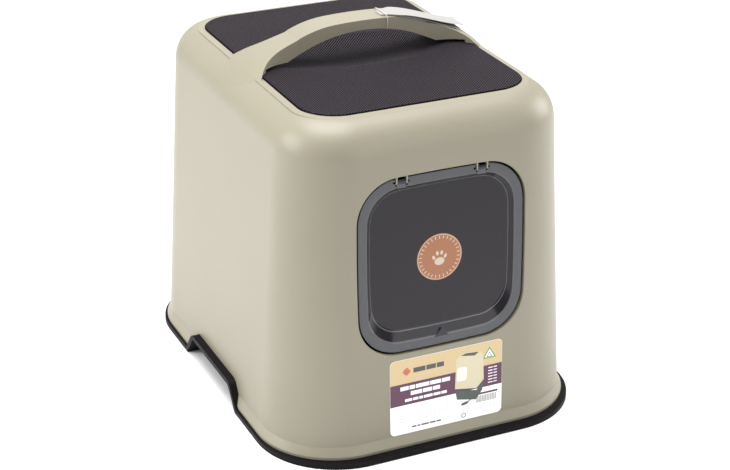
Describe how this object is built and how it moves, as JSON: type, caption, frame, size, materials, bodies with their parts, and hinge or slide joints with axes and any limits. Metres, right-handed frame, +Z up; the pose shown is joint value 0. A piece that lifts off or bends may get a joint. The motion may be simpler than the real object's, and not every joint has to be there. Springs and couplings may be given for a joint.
{
  "type": "cat litter box with hood",
  "caption": "Cat litter box stored under its drafted hood, with a swinging see-through flap, an arched carrying handle and a loose scoop.",
  "frame": {"origin": "on the floor, at the middle of the tray flange's footprint", "axes": "+Z up, -Y out of the entrance at the front, +X to the right of someone looking along +Y at the entrance"},
  "size_m": [0.395, 0.51, 0.445],
  "materials": {
    "dark_plastic": "fine matt moulding",
    "beige_plastic": "fine matt moulding",
    "dark_textured_plastic": "small raised dots in a diagonal grid",
    "clear_plastic": "smooth, slightly smoked",
    "pin_steel": "drawn wire",
    "scoop_plastic": "fine matt moulding",
    "label_film": "printed film",
    "sticker_film": "printed film",
    "tag_card": "coated card",
    "thread": "twisted thread"
  },
  "bodies": {
    "tray": {"tray": "dark_plastic"},
    "hood": {"hood_shell": "beige_plastic", "top_panel": "dark_textured_plastic", "hinge_pins": "pin_steel", "front_label": "label_film", "hang_tag": "tag_card", "tag_thread": "thread"},
    "flap": {"flap": "clear_plastic", "flap_sticker": "sticker_film"},
    "scoop": {"scoop": "scoop_plastic"}
  },
  "joints": [
    {"name": "hood_lift", "type": "slide", "parent": "tray", "child": "hood", "axis": [0, 0, 1], "range_m": [0, 0.2]},
    {"name": "flap_swing", "type": "hinge", "parent": "hood", "child": "flap", "pos_m": [0, -0.22296, 0.329], "axis": [1, 0, 0], "range_deg": [-75, 75]},
    {"name": "scoop_lift", "type": "slide", "parent": "tray", "child": "scoop", "axis": [0, 0, 1], "range_m": [0, 0.08]}
  ]
}
